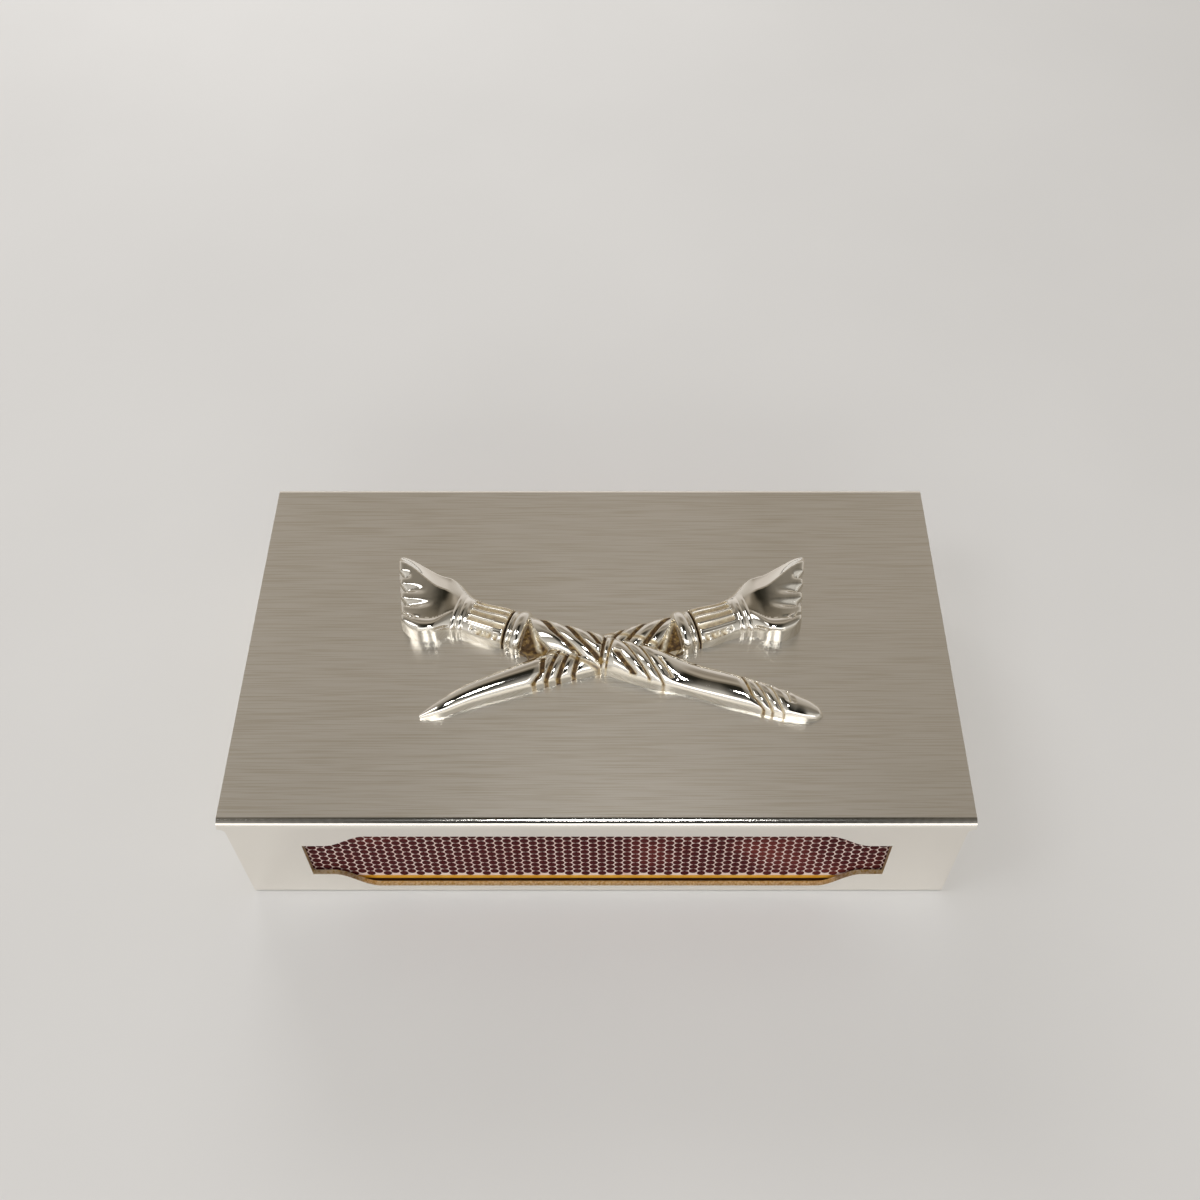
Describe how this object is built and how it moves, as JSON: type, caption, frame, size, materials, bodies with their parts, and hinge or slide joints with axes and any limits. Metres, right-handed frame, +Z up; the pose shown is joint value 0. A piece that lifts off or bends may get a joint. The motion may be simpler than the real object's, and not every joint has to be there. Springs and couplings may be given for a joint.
{
  "type": "matchbox holder",
  "caption": "Open-ended metal sleeve with a striking window in each long wall and a crossed-torch relief on top, round a household matchbox that slides out.",
  "frame": {"origin": "centre of the base, on the surface it lies on", "axes": "+X along the matchbox, -Y the front with the window seen in the picture, +Z up through the relief"},
  "size_m": [0.116, 0.0678, 0.0292],
  "materials": {
    "silver_plated_sheet": "silver plate over brass sheet, satin brushed on top",
    "silver_plated_casting": "silver plate over cast brass, polished, warm tone left in the recesses",
    "sleeve_card": "printed card, matt",
    "striking_surface": "dots of striking composition printed on pale card, worn by use",
    "tray_card": "uncoated card, matt",
    "match_wood": "raw aspen, split",
    "match_composition": "dipped match composition, dull"
  },
  "bodies": {
    "cover": {"cover_shell": "silver_plated_sheet", "crossed_torches": "silver_plated_casting"},
    "matchbox": {"box_sleeve": "sleeve_card", "striker_front": "striking_surface", "striker_back": "striking_surface"},
    "tray": {"match_tray": "tray_card", "match_sticks": "match_wood", "match_heads": "match_composition"}
  },
  "joints": [
    {"name": "box_slide", "type": "slide", "parent": "cover", "child": "matchbox", "axis": [1, 0, 0], "range_m": [-0.114, 0.114]},
    {"name": "tray_slide", "type": "slide", "parent": "matchbox", "child": "tray", "axis": [1, 0, 0], "range_m": [-0.08, 0.08]}
  ]
}
